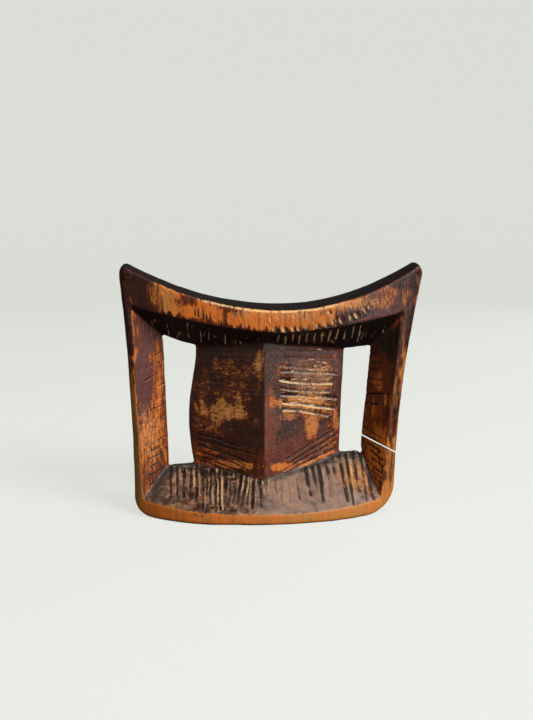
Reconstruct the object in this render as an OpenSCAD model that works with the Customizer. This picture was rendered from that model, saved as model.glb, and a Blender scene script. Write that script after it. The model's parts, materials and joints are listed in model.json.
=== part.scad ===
// Carved wooden headrest: a curved head rest on two posts and a middle column,
// over a lens-shaped base. One block of wood, drawn as its carved members.
// Millimetres. Z is up, X runs from horn to horn and Y from front to back.
// The origin is the middle of the resting face.

/* [Outline] */
// Reach of each horn from the middle
horn_reach = 92.8; // [89:0.2:98]
// Height of the horn tips
horn_h = 154; // [151:1:160]
// Rounding of the horn tips, seen from the front
horn_r = 6; // [4:0.5:8]
// Height of the lowest point of the head rest
dip_h = 127.5; // [125:0.5:131]
// Place of the lowest point, right of the middle
dip_x = 6; // [0:1:10]
// Reach of the left side at the foot
foot_left = 85.6; // [83:0.2:88]
// Reach of the right side at the foot
foot_right = 77.2; // [75:0.2:84]
// Rounding of the lower left corner
corner_left = 11; // [9:1:14]
// Rounding of the lower right corner
corner_right = 20; // [12:1:22]

/* [Depth] */
// Depth of the base at its widest
base_depth = 83; // [74:1:90]
// Depth of the base at its two ends
base_end_depth = 26; // [24:1:32]
// Depth of the head rest at its widest
saddle_depth = 53; // [46:1:60]
// Depth of the head rest at its horns
saddle_end_depth = 26; // [22:1:30]
// Rounding of the upright edges, seen from above
edge_r = 5; // [3:0.5:7]
// Crown of the head rest from front to back
crown = 1.2; // [0:0.1:2]

/* [Carved frame] */
// Lowest height of the head rest's lower front edge
brow_h = 113.5; // [111:0.5:115]
// Rise of that edge up to the left horn
brow_rise = 17.5; // [15:0.5:19]
// Height of the base's front edge at the middle
kerb_h = 7; // [6:0.5:9]
// Rise of that edge towards the ends
kerb_rise = 4; // [2:0.5:5]
// Height of the lower side of the head rest along its middle
lintel_h = 101; // [98:0.5:103]
// Rise of the lower side at the left window
lintel_rise = 9.5; // [6:0.5:11]
// Height of the base along its middle
sill_h = 32.2; // [30:0.2:35]
// Slope of the base's middle line towards the right
sill_slope = 0.065; // [0:0.005:0.08]
// Width of the blunt edge around the windows
edge_w = 2.4; // [1.6:0.2:4]

/* [Posts] */
// Left window's outer edge at its top
window_left_top = 67; // [65:0.2:69]
// Left window's outer edge at its foot
window_left_foot = 64.3; // [62:0.1:67]
// Right window's outer edge at its top
window_right_top = 62.4; // [60:0.2:64]
// Right window's outer edge at its foot
window_right_foot = 57; // [55:0.2:60]
// Left post's front inner edge at its top
rim_left_top = 85.8; // [84:0.2:87]
// Left post's front inner edge at its foot
rim_left_foot = 79.7; // [78:0.5:81]
// Right post's front inner edge at its top
rim_right_top = 79.2; // [77:0.2:81]
// Right post's front inner edge at its foot
rim_right_foot = 67.1; // [65:0.1:69]

/* [Column] */
// Reach of the column's left edge at its top and foot
column_left = 46.8; // [45:0.2:49]
// Bulge of the left edge at half height
column_bulge = 5; // [0:0.5:6]
// Reach of the column's right edge at its foot
column_right_foot = 43.4; // [42:0.2:46]
// Reach of the column's right edge at its top
column_right_top = 45.6; // [44:0.2:48]
// Place of the column's ridge, left of the middle
ridge_left = 5; // [0:0.5:8]
// Depth of the ridge at the top
ridge_top = 13; // [10:0.5:15]
// Depth of the ridge at the foot
ridge_foot = 18.5; // [15:0.5:20]

/* [Crack] */
// Width of the crack through the right post
crack_gap = 0.8; // [0.4:0.1:1]
// Height of the crack at the window
crack_h = 46; // [44:0.5:56]
// Fall of the crack from the window outwards
crack_fall = 0.52; // [0.2:0.01:0.6]
// Fall of the crack from front to back
crack_back_fall = 0.143; // [0:0.001:0.3]

/* [Hidden] */

left = 0;
right = 1;
sign = [-1, 1];
foot = [foot_left, foot_right];
corner_r = [corner_left, corner_right];
window_top = [-window_left_top, window_right_top];
window_foot = [-window_left_foot, window_right_foot];
rim_top = [-rim_left_top, rim_right_top];
rim_foot = [-rim_left_foot, rim_right_foot];

// The horns' sides stand upright at this height, and flare out to it by a power curve.
flare_h = horn_h - horn_r;
flare_power = 2.3;
dip_power = 2.03;
brow_power = 1.5;
lintel_power = 4;
// The middle of the base's lens lies left of the middle, the head rest's over its dip.
base_wide_x = -12;
base_lens_power = 2.6;
saddle_lens_power = 2;
half_edge = edge_w / 2;
column_mid_h = 58;
dark_wood = "#4b2c20";
warm_wood = "#8a5230";
red_wood = "#6f3a24";

function side_of(x) = x < 0 ? left : right;
function mix(a, b, t) = a + (b - a) * t;
function clamp01(t) = max(0, min(1, t));
// How far a rounded corner of radius r stands back at distance d from its straight edge
function corner_loss(d, r) = d >= r ? 0 : r - sqrt(max(0, r * r - (r - d) * (r - d)));

// ---- Front view ----

// Reach of the outer side at height z
function flare(i, z) =
    foot[i] + (horn_reach - foot[i]) * pow(clamp01(z / flare_h), flare_power);
function outer_reach(i, z) = flare(i, z) - corner_loss(z, corner_r[i]);
// Height at which the outer side reaches x, above the waist
function flare_height(x) =
    let (i = side_of(x))
    flare_h * pow(clamp01((abs(x) - foot[i]) / (horn_reach - foot[i])), 1 / flare_power);
// Height of the rounded underside of the lower corners at x
function foot_height(x) =
    let (i = side_of(x))
    corner_loss(foot[i] - abs(x), corner_r[i]);
// Height of the head rest's top at x, with its rounded horn tips
function dip_height(x) =
    let (span = horn_reach - horn_r / 2 - sign[side_of(x - dip_x)] * dip_x)
    dip_h + (horn_h - dip_h) * pow(abs(x - dip_x) / span, dip_power);
function top_height(x) =
    min(dip_height(x), horn_h - corner_loss(horn_reach - abs(x), horn_r));
function brow_height(x) =
    brow_h + brow_rise * pow(abs(x - dip_x) / (horn_reach + dip_x), brow_power);
function kerb_height(x) = kerb_h + kerb_rise * pow(x / foot_left, 2);
function lintel_height(x) =
    lintel_h + lintel_rise * pow(abs(x - 10) / (window_left_top + 10), lintel_power);
function sill_height(x) = sill_h + sill_slope * x;

// ---- Half depths, seen from above ----

function lens(x, wide_x, reach, mid, end, power) =
    let (span = abs(sign[side_of(x - wide_x)] * reach - wide_x))
    end + (mid - end) * (1 - pow(clamp01(abs(x - wide_x) / span), power));
function half_depth(x, z) =
    let (i = side_of(x))
    let (t = clamp01((z - kerb_h) / (brow_h - kerb_h)))
    let (low = lens(x, base_wide_x, foot[i], base_depth, base_end_depth, base_lens_power) / 2)
    let (high = lens(x, dip_x, horn_reach, saddle_depth, saddle_end_depth, saddle_lens_power) / 2)
    mix(low, high, t) - corner_loss(max(0, flare(i, z) - abs(x)), edge_r);

// ---- Mitres between the posts and the head rest or base ----
// Each one is a plane seen edge on from the front, through a window corner and a rim corner.

function window_corner(i, up) =
    let (x = up ? window_top[i] : window_foot[i])
    [x, up ? lintel_height(x) : sill_height(x)];
function rim_corner(i, up) =
    let (x = up ? rim_top[i] : rim_foot[i])
    [x, up ? brow_height(x) : kerb_height(x)];
// Share of the way from the window corner to the rim corner, by height or by x
function mitre_share(i, up, value, axis) =
    let (a = window_corner(i, up)[axis], b = rim_corner(i, up)[axis])
    (value - a) / (b - a);
function mitre_point(i, up, share) = mix(window_corner(i, up), rim_corner(i, up), share);
// Half width of the mitre face at a share of its way
function mitre_half(i, up, share) =
    let (p = mitre_point(i, up, share))
    share < 1 ? mix(half_edge, half_depth(rim_corner(i, up)[0], rim_corner(i, up)[1]), max(0, share))
              : half_depth(p[0], p[1]);
// How far a point of the mitre line lies inside the outline
function mitre_inset(i, up, share) =
    let (p = mitre_point(i, up, share))
    outer_reach(i, p[1]) - abs(p[0]);
// Share at which the mitre line leaves the outline, found by halving the interval
function mitre_end(i, up, low = 1, high = 2, steps = 16) =
    let (middle = (low + high) / 2)
    steps == 0 ? low :
    mitre_inset(i, up, middle) > 0.1 ? mitre_end(i, up, middle, high, steps - 1)
                                     : mitre_end(i, up, low, middle, steps - 1);

// ---- Solids from rings ----

function ring_middle(ring) = [for (axis = [0:2]) mix(min([for (p = ring) p[axis]]),
                                                     max([for (p = ring) p[axis]]), 0.5)];
// Both halves of a ring, from the points of its front half
function both_halves(front) =
    concat(front, [for (k = [len(front) - 1:-1:0]) [front[k][0], -front[k][1], front[k][2]]]);
// Places from low to high, closer together at both ends
function places(low, high, steps) =
    [for (k = [0:steps]) mix(low, high, (1 - cos(180 * k / steps)) / 2)];

// Closed solid through rings of equal length, each closed by a fan about its middle
module skin(rings, flip = false) {
    n = len(rings[0]);
    last = (len(rings) - 1) * n;
    points = concat([for (ring = rings, p = ring) p],
                    [ring_middle(rings[0]), ring_middle(rings[len(rings) - 1])]);
    walls = [for (start = [0:n:last - n], k = [0:n - 1])
             let (a = start + k, b = start + (k + 1) % n)
             each [[a, b, b + n], [a, b + n, a + n]]];
    caps = [for (k = [0:n - 1]) let (next = (k + 1) % n)
            each [[next, k, last + n], [last + k, last + next, last + n + 1]]];
    faces = concat(walls, caps);
    polyhedron(points, flip ? [for (f = faces) [f[2], f[1], f[0]]] : faces, convexity = 6);
}

// ---- Head rest ----

// Height and half width of the head rest's lower side at x
function saddle_foot(x) =
    let (i = side_of(x), share = mitre_share(i, true, x, 0))
    share < 0 ? [lintel_height(x), half_edge]
              : let (z = max(mitre_point(i, true, share)[1], flare_height(x)))
                [z, min(mitre_half(i, true, share), half_depth(x, z) - 0.4)];
function saddle_ring(x) =
    let (top = top_height(x), low = saddle_foot(x))
    let (brow = max(low[0] + 0.4, min(brow_height(x), top - 3)))
    let (deep = half_depth(x, top))
    both_halves([
        [x, -0.01, top + crown],
        [x, -deep * 0.5, top + crown * 0.75],
        [x, -deep + 1.5, top],
        [x, -deep, top - 1.2],
        [x, -half_depth(x, brow), brow + 0.5],
        [x, -half_depth(x, brow) + 0.3, brow],
        [x, -low[1], low[0]],
        [x, -0.01, low[0]]]);
module saddle() {
    reach = horn_reach - 0.3;
    // The mitres leave the outline at low and high, and each has a ring there.
    low = max(1 - reach, mitre_point(left, true, mitre_end(left, true))[0]);
    high = min(reach - 1, mitre_point(right, true, mitre_end(right, true))[0]);
    steps = 46;
    middle = places(low, high, steps);
    stations = concat(places(-reach, low, 6),
                      [for (k = [1:steps - 1]) middle[k]],
                      places(high, reach, 6));
    color(dark_wood)
        skin([for (x = stations) saddle_ring(x)], flip = true);
}

// ---- Base ----

// Height and half width of the base's upper side at x
function base_crest(x) =
    let (i = side_of(x), share = mitre_share(i, false, x, 0))
    share < 0 ? [sill_height(x), half_edge]
              : [mitre_point(i, false, share)[1], mitre_half(i, false, share)];
function base_ring(x) =
    let (foot_z = foot_height(x), crest = base_crest(x))
    let (kerb = min(crest[0] - 0.1, max(kerb_height(x), foot_z + 0.3)))
    let (deep = half_depth(x, kerb))
    both_halves([
        [x, -0.01, foot_z],
        [x, -deep + 1.2, foot_z],
        [x, -deep, mix(foot_z, kerb, 0.2)],
        [x, -deep, mix(foot_z, kerb, 0.9)],
        [x, -deep + 0.3, kerb],
        [x, -min(crest[1], deep - 0.4), crest[0]],
        [x, -0.01, crest[0]]]);
module base() {
    low = mitre_point(left, false, mitre_end(left, false))[0];
    high = mitre_point(right, false, mitre_end(right, false))[0];
    color(warm_wood)
        skin([for (x = places(low, high, 40)) base_ring(x)]);
}

// ---- Posts ----

// Inner edge of a post at height z: its place and half width
function post_inner(i, z) =
    let (up = mitre_share(i, true, z, 1), down = mitre_share(i, false, z, 1))
    up > 0 ? [mitre_point(i, true, up)[0], mitre_half(i, true, up)] :
    down > 0 ? [mitre_point(i, false, down)[0], mitre_half(i, false, down)] :
    let (low = window_corner(i, false), high = window_corner(i, true))
    [mix(low[0], high[0], (z - low[1]) / (high[1] - low[1])), half_edge];
function post_rim(i, z) =
    let (low = rim_corner(i, false), high = rim_corner(i, true))
    mix(low[0], high[0], clamp01((z - low[1]) / (high[1] - low[1])));
function post_ring(i, z) =
    let (out = sign[i] * outer_reach(i, z), inner = post_inner(i, z))
    let (rim = abs(post_rim(i, z)) > abs(inner[0]) + 0.2 ? post_rim(i, z)
                                                        : mix(inner[0], out, 0.2))
    both_halves(concat(
        [[out, -0.01, z]],
        [for (t = [0, 0.15, 0.35, 0.6, 1])
            let (x = mix(out, rim, t))
            [x, -half_depth(x, z), z]],
        [[inner[0], -min(inner[1], half_depth(rim, z) - 0.2), z]],
        [[inner[0], -0.01, z]]));
function post_low(i) = mitre_point(i, false, mitre_end(i, false))[1];
function post_high(i) = mitre_point(i, true, mitre_end(i, true))[1];

module left_post() {
    color(red_wood)
        skin([for (z = places(post_low(left), post_high(left), 36)) post_ring(left, z)], flip = true);
}

// Height of the crack's middle at a point of the right post
function crack_height(p) =
    crack_h - crack_fall * (p[0] - window_right_foot) - crack_back_fall * p[1];
// Ring of the right post between the crack, at share 0, and the height z, at share 1
function cracked_ring(z, share, lift) =
    [for (p = post_ring(right, mix(crack_h - 4, z, share)))
        [p[0], p[1], mix(crack_height(p) + lift, z, share)]];
module right_post_part(z, lift, flip) {
    shares = [for (k = [0:24]) (1 - cos(180 * k / 24)) / 2];
    color(warm_wood)
        skin([for (share = shares) cracked_ring(z, share, lift)], flip = flip);
}
module right_post_upper() {
    right_post_part(post_high(right), crack_gap / 2, false);
}
module right_post_lower() {
    right_post_part(post_low(right), -crack_gap / 2, true);
}

// ---- Column ----

function column_left_x(z) =
    -column_left - column_bulge * pow(max(0, cos(2 * (z - column_mid_h))), 2);
function column_right_x(z) =
    mix(column_right_foot, column_right_top, (z - sill_h) / (lintel_h - sill_h));
function ridge_half(z) = mix(ridge_foot, ridge_top, (z - sill_h) / (lintel_h - sill_h));
// Height of the head rest's lower side and of the base's upper side over a plan point
function ceiling(x, y) =
    mix(lintel_height(x), brow_height(x), (y - half_edge) / (half_depth(x, brow_height(x)) - half_edge));
function ground(x, y) =
    mix(sill_height(x), kerb_height(x), (y - half_edge) / (half_depth(x, kerb_h) - half_edge));
// Ring of the column between the base, at share 0, and the head rest, at share 1
function column_ring(share) =
    let (z = mix(sill_h, lintel_h, share))
    let (low_x = column_left_x(z), high_x = column_right_x(z))
    let (facets = [for (t = [0, 0.5, 1]) [mix(low_x, -ridge_left, t), mix(half_edge, ridge_half(z), t)],
                   for (t = [0.5, 1]) [mix(-ridge_left, high_x, t), mix(ridge_half(z), half_edge, t)]])
    both_halves([for (p = facets) [p[0], -p[1], mix(ground(p[0], p[1]), ceiling(p[0], p[1]), share)]]);
module column() {
    color(red_wood)
        skin([for (k = [0:16]) column_ring(k / 16)], flip = true);
}

saddle();
left_post();
right_post_upper();
right_post_lower();
column();
base();
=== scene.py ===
"""A carved wooden headrest, built as one weathered block that is cut into its members."""
import json
import bmesh
import bpy
import numpy as np
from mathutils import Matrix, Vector
from mathutils.bvhtree import BVHTree
from mathutils.geometry import tessellate_polygon
from mathutils.kdtree import KDTree


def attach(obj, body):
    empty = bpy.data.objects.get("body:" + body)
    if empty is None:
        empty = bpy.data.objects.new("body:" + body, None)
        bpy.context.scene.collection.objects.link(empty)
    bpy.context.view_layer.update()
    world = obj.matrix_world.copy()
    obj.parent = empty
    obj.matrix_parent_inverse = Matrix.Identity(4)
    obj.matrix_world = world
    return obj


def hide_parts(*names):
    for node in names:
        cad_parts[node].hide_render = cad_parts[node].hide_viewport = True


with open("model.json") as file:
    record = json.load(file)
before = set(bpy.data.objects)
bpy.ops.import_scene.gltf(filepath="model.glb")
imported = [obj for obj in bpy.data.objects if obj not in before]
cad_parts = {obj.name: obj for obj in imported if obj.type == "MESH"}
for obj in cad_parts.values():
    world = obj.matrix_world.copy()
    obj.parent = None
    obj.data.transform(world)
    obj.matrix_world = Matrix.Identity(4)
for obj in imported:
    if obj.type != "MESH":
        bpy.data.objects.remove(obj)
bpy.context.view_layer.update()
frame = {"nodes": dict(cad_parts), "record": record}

# ---- names and sizes, in millimetres

MM = 0.001
VOXEL = 0.6
MEMBERS = ["saddle", "left_post", "right_post_upper", "right_post_lower", "column", "base"]
SADDLE, LEFT_POST, RIGHT_UPPER, RIGHT_LOWER, COLUMN, BASE = range(len(MEMBERS))
SEAMS = [(SADDLE, k) for k in (LEFT_POST, RIGHT_UPPER, COLUMN)]
SEAMS += [(BASE, k) for k in (LEFT_POST, RIGHT_LOWER, COLUMN)]
SLOTS = {part["node"]: part["material_slot"] for part in frame["record"]["subparts"]}
# What each point of the surface carries for the materials, painted shade, sheen and highlights
# among them
FIELDS = ["wear", "warm", "grime", "dust_and_sheen", "pale", "violet_sheen", "line"]
# The block's two sides, as the sign of Y
FRONT, BACK = -1, 1
# Rounds of smoothing over every edge, and over the corners where posts meet head rest and base
EDGE_ROUNDS = 7
CORNER_ROUNDS = 45
# How far from a seam the surface may be moved onto it, and how far along the post the crack opens
SEAM_BAND = 3
CRACK_FADE = 4
# Where along X the head rest dips lowest, and the height below which no mark may bulge outwards
DIP_AT = 6
RESTING_BAND = 0.8
# The photograph's viewpoint: what it looks at, from how far, and its turn and rise in degrees
CAMERA_AIM = (-2.8, 0, 94)
CAMERA_DISTANCE = 600
CAMERA_TURN = -3
CAMERA_RISE = 8.05
CAMERA_LENS = 48
SENSOR_WIDTH = 36

# ---- colours, as everyday 0 to 255 values

PATINA = (41, 20, 12)
RED_PATINA = (90, 38, 16)
# A violet cast on the patina that paints a sheen
VIOLET_SHEEN = (82, 48, 48)
TAN = (164, 112, 56)
ORANGE = (186, 100, 32)
DEEP = (112, 52, 18)
# Dusty grey, which also paints a grey sheen on the head rest's top
DUST_AND_SHEEN = (136, 112, 98)
# Near-black grime, which also paints the shade in hollows and under the head rest; grey-dark on the
# base
GRIME_AND_SHADE = (15, 10, 8)
GREY_GRIME_AND_SHADE = (50, 46, 41)
# Pale wood on crests and edges, partly a painted highlight
PALE_AND_HIGHLIGHT = (214, 174, 122)
FLOOR = (232, 236, 228)

# Each wood's roughness, shine, colour for grime and painted shade, size in mm of the dashes that
# break its wear, and strength of its grain
WOODS = {
    "saddle_wood": (0.25, 0.26, GRIME_AND_SHADE, (0.9, 0.9, 5), 0.7),
    "post_wood": (0.26, 0.26, GRIME_AND_SHADE, (1.0, 1.0, 7), 0.36),
    "column_wood": (0.24, 0.28, GRIME_AND_SHADE, (2.4, 2.4, 0.7), 0.45),
    "base_wood": (0.34, 0.25, GREY_GRIME_AND_SHADE, (1.1, 1.1, 3), 0.2),
}

# Each light's place, the height it aims at, its width and height, all in metres, its power in watts
# and its colour
LIGHTS = {
    "key": ((1.0, -1.1, 1.2), 0.08, (0.8, 0.8), 40, (1, 0.97, 0.93)),
    "right": ((1.5, -0.75, 0.45), 0.08, (0.5, 1.1), 7.5, (1, 0.94, 0.97)),
    "low": ((0.7, -1.3, 0.06), 0.1, (0.6, 0.1), 4.5, (1, 0.96, 0.9)),
    "right_back": ((1.1, 0.9, 0.45), 0.08, (0.6, 0.9), 6, (1, 0.94, 1.0)),
    "front": ((0.1, -1.9, 0.9), 0.08, (1.4, 0.8), 4.5, (1, 0.98, 0.95)),
    "left": ((-1.3, -1.0, 0.4), 0.08, (0.5, 0.8), 2.5, (1, 0.86, 0.68)),
    "top": ((0.2, -0.3, 1.9), 0.08, (1.0, 0.8), 8, (1, 1, 1)),
}
# The faint light from all round: its colour and its strength
DAYLIGHT = (0.95, 0.98, 1.0, 1)
DAYLIGHT_STRENGTH = 0.07


# ---- noise


def hashed(cells, seed):
    """A repeatable number from 0 to 1 for each whole-number cell."""
    x, y, z = (cells[:, k].astype(np.uint64) for k in range(3))
    h = x * np.uint64(73856093) ^ y * np.uint64(19349663) ^ z * np.uint64(83492791)
    h = (h ^ np.uint64(seed * 2654435761 + 12345)) & np.uint64(0xFFFFFFFF)
    h = ((h ^ (h >> np.uint64(15))) * np.uint64(2246822519)) & np.uint64(0xFFFFFFFF)
    h = ((h ^ (h >> np.uint64(13))) * np.uint64(3266489917)) & np.uint64(0xFFFFFFFF)
    return ((h ^ (h >> np.uint64(16))) & np.uint64(0xFFFFFF)) / float(0xFFFFFF)


def noise(points, size, seed):
    """Smooth noise from -1 to 1. size is one length, or one for each axis."""
    scaled = points / np.asarray(size, float) + 1000.0
    cells = np.floor(scaled).astype(np.int64)
    part = scaled - cells
    part = part * part * (3 - 2 * part)
    total = np.zeros(len(points))
    for corner in np.ndindex(2, 2, 2):
        weight = np.prod(np.where(corner, part, 1 - part), axis=1)
        total += weight * hashed(cells + np.array(corner), seed)
    return total * 2 - 1


def fractal(points, size, seed, octaves=3):
    """Noise with finer detail added, still about -1 to 1."""
    size = np.asarray(size, float)
    return sum(noise(points, size / 2**k, seed + k) / 2**k for k in range(octaves)) / 1.4


def ramp(values, low, high):
    """0 below low, 1 above high, with a smooth step between. low may be above high."""
    t = np.clip((values - low) / (high - low), 0, 1)
    return t * t * (3 - 2 * t)


# ---- the block's surface


def add_object(name, data):
    thing = bpy.data.objects.new(name, data)
    bpy.context.scene.collection.objects.link(thing)
    return thing


def sides_of(faces):
    """Every side of every face, as pairs of points."""
    count = faces.shape[1]
    return np.vstack([faces[:, [k, (k + 1) % count]] for k in range(count)])


def solid(name):
    """A CAD node's points in millimetres and its triangles, with split corners joined."""
    bm = bmesh.new()
    bm.from_mesh(frame["nodes"][name].data)
    bmesh.ops.remove_doubles(bm, verts=bm.verts, dist=1e-7)
    bmesh.ops.triangulate(bm, faces=bm.faces)
    points = np.array([v.co for v in bm.verts]) / MM
    faces = [[v.index for v in f.verts] for f in bm.faces]
    bm.free()
    return points, np.array(faces)


def crack_faces(solids):
    """The points of the two faces that look at each other across the crack."""
    sides = []
    for this, other in ((RIGHT_UPPER, RIGHT_LOWER), (RIGHT_LOWER, RIGHT_UPPER)):
        points, across = solids[this][0], solids[other][0]
        tree = KDTree(len(across))
        for k, point in enumerate(across):
            tree.insert(point, k)
        tree.balance()
        near = [p for p in points if tree.find(p)[2] < 1.2]
        sides.append(np.array(near))
    return sides


def block_mesh(solids, gap_points):
    """One closed skin round all the solids and over the crack, as points and quads."""
    bm = bmesh.new()
    for points, faces in solids:
        verts = [bm.verts.new(p * MM) for p in points]
        for f in faces:
            bm.faces.new([verts[k] for k in f])
    filler = [bm.verts.new(p * MM) for p in np.vstack(gap_points)]
    bmesh.ops.convex_hull(bm, input=filler)
    mesh = bpy.data.meshes.new("block")
    bm.to_mesh(mesh)
    bm.free()
    block = add_object("block", mesh)
    remesh = block.modifiers.new("remesh", "REMESH")
    remesh.mode = "VOXEL"
    remesh.voxel_size = VOXEL * MM
    result = block.evaluated_get(bpy.context.evaluated_depsgraph_get()).to_mesh()
    points = np.empty(len(result.vertices) * 3)
    result.vertices.foreach_get("co", points)
    quads = np.empty(len(result.loops), np.int64)
    result.loops.foreach_get("vertex_index", quads)
    bpy.data.objects.remove(block)
    bpy.data.meshes.remove(mesh)
    return points.reshape(-1, 3) / MM, quads.reshape(-1, 4)


class Surface:
    """Triangles with fast smoothing and normals."""

    def __init__(self, points, quads):
        self.points = points
        short = np.linalg.norm(points[quads[:, 0]] - points[quads[:, 2]], axis=1)
        long = np.linalg.norm(points[quads[:, 1]] - points[quads[:, 3]], axis=1)
        first = np.where((short < long)[:, None], quads[:, [0, 1, 2]], quads[:, [0, 1, 3]])
        second = np.where((short < long)[:, None], quads[:, [0, 2, 3]], quads[:, [1, 2, 3]])
        self.triangles = np.vstack([first, second])
        self.edges = np.unique(np.sort(sides_of(quads), axis=1), axis=0)
        self.degree = np.bincount(self.edges.ravel(), minlength=len(points))

    def neighbour_mean(self, values):
        """The mean of each point's neighbours, for numbers or for vectors."""
        if values.ndim == 2:
            return np.stack([self.neighbour_mean(values[:, k]) for k in range(values.shape[1])], 1)
        a, b = self.edges.T
        count = len(values)
        total = np.bincount(a, values[b], count) + np.bincount(b, values[a], count)
        return total / self.degree

    def smoothed(self, values, times):
        for _ in range(times):
            values = values + (self.neighbour_mean(values) - values) * 0.5
        return values

    def normals(self):
        a, b, c = (self.points[self.triangles[:, k]] for k in range(3))
        face = np.cross(b - a, c - a)
        total = np.zeros_like(self.points)
        for k in range(3):
            for axis in range(3):
                total[:, axis] += np.bincount(
                    self.triangles[:, k], face[:, axis], len(self.points)
                )
        return total / np.linalg.norm(total, axis=1)[:, None]


def nearest_members(points, solids):
    """The member that each point lies on."""
    starts = np.cumsum([0] + [len(s[0]) for s in solids])
    owner = np.concatenate([[k] * len(s[1]) for k, s in enumerate(solids)])
    joined = np.vstack([s[0] for s in solids])
    faces = np.vstack([s[1] + starts[k] for k, s in enumerate(solids)])
    tree = BVHTree.FromPolygons(joined.tolist(), faces.tolist())
    return np.array([owner[tree.find_nearest(p)[2]] for p in points.tolist()])


# ---- surfaces to work on


def soften_corners(surface, member):
    """Runs the posts' outer faces into the head rest and the base without an edge."""
    post = np.isin(member, (LEFT_POST, RIGHT_UPPER, RIGHT_LOWER)).astype(float)
    near = surface.smoothed(post, 60)
    seam = np.clip(4 * near * (1 - near), 0, 1)
    towards_window = surface.normals()[:, 0] * np.sign(surface.points[:, 0])
    share = seam * ramp(towards_window, -0.45, -0.2)
    share *= ramp(surface.points[:, 2], 0.6, 2.5)
    for _ in range(CORNER_ROUNDS):
        for pull in (0.5, -0.52):
            step = surface.neighbour_mean(surface.points) - surface.points
            surface.points = surface.points + pull * step * share[:, None]


class Patch:
    """The points of one carved face, with two coordinates along it."""

    def __init__(self, weight, u, v):
        self.index = np.nonzero(weight > 0.02)[0]
        self.weight = weight[self.index]
        self.u = u[self.index]
        self.v = v[self.index]


class FinishAndLight:
    """What the tools and the years did to each point, with painted shade, sheen and highlights:
    depth in mm, and shares from 0 to 1.
    """

    def __init__(self, points):
        for name in ["depth"] + FIELDS:
            setattr(self, name, np.zeros(len(points)))
        self.warm += 0.5
        self.clouds = fractal(points, (5, 5, 7), 31, 4)
        self.streaks = noise(points, (1.3, 1.3, 9), 35)
        self.dashes = noise(points, (3.4, 3.4, 1.1), 36)
        self.wander = 0.5 * noise(points, 9, 38) + 0.2 * noise(points, 3, 39)
        self.pressure = np.clip(0.75 + 0.6 * fractal(points, 6, 41), 0.1, 1)

    def cut(self, patch, start, end, width, depth, grime, pale=0.0, bare=0.0, bow=0.0, fade=0.0):
        """A cut that fades towards its end. Its pale share brightens the ridge beside it, partly
        pale wood and partly a painted highlight; bare lays bare its bottom.
        """
        (u0, v0), (u1, v1) = start, end
        du, dv = u1 - u0, v1 - v0
        length = np.hypot(du, dv)
        t = ((patch.u - u0) * du + (patch.v - v0) * dv) / length**2
        off = ((patch.u - u0) * dv - (patch.v - v0) * du) / length
        off = off + bow * 4 * t * (1 - t) + self.wander[patch.index] * min(1, length / 12)
        inside = np.clip(np.minimum(t, 1 - t) * length / (1.5 * width) + 0.3, 0, 1)
        shape = patch.weight * inside * self.pressure[patch.index] * (1 - fade * np.clip(t, 0, 1))
        groove = np.exp(-((off / width) ** 2)) * shape
        ridge = np.exp(-(((off - 1.6 * width) / (0.7 * width)) ** 2)) * shape
        self.depth[patch.index] -= depth * groove - 0.3 * depth * ridge
        self.raise_to(patch, "line", grime * groove * 1.25)
        self.raise_to(patch, "grime", 0.4 * grime * groove)
        # The pale crest beside the groove is partly pale wood and partly a painted highlight.
        self.raise_to(patch, "pale", pale * ridge)
        self.raise_to(patch, "wear", bare * groove)

    def raise_to(self, patch, name, values):
        """Raises a field to the values wherever it is below them."""
        field, k = getattr(self, name), patch.index
        field[k] = np.maximum(field[k], values)

    def cover(self, patch, name, values):
        """The same, weakening towards the patch's edges."""
        self.raise_to(patch, name, values * patch.weight)

    def blend(self, patch, name, value):
        """Sets a field to a value over a patch."""
        field, k = getattr(self, name), patch.index
        field[k] = field[k] * (1 - patch.weight) + value * patch.weight

    def oval(self, patch, at, size, ragged):
        """1 in the middle of a soft, cloudy oval and 0 outside it."""
        far = np.hypot((patch.u - at[0]) / size[0], (patch.v - at[1]) / size[1])
        far = far + ragged * (0.7 * self.clouds[patch.index] + 0.3 * self.streaks[patch.index])
        return ramp(far, 1.6, 0.4)

    def spot(self, patch, name, at, size, level, ragged=0.5):
        """Raises a field inside an oval."""
        self.cover(patch, name, level * self.oval(patch, at, size, ragged))

    def clear(self, patch, name, at, size, share, ragged=0.5):
        """Takes a share of a field away inside an oval."""
        inside = self.oval(patch, at, size, ragged)
        getattr(self, name)[patch.index] *= 1 - share * patch.weight * inside

    def stain_and_light(self, patch, face, ragged=0.5):
        """All the ovals of the stains table for a face: stains and wear, and painted sheen and
        highlights.
        """
        for name, ovals in STAINS_AND_LIGHT[face].items():
            for u, v, wide, high, strength in ovals:
                change = self.spot if strength > 0 else self.clear
                change(patch, name, (u, v), (wide, high), abs(strength), ragged)


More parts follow.
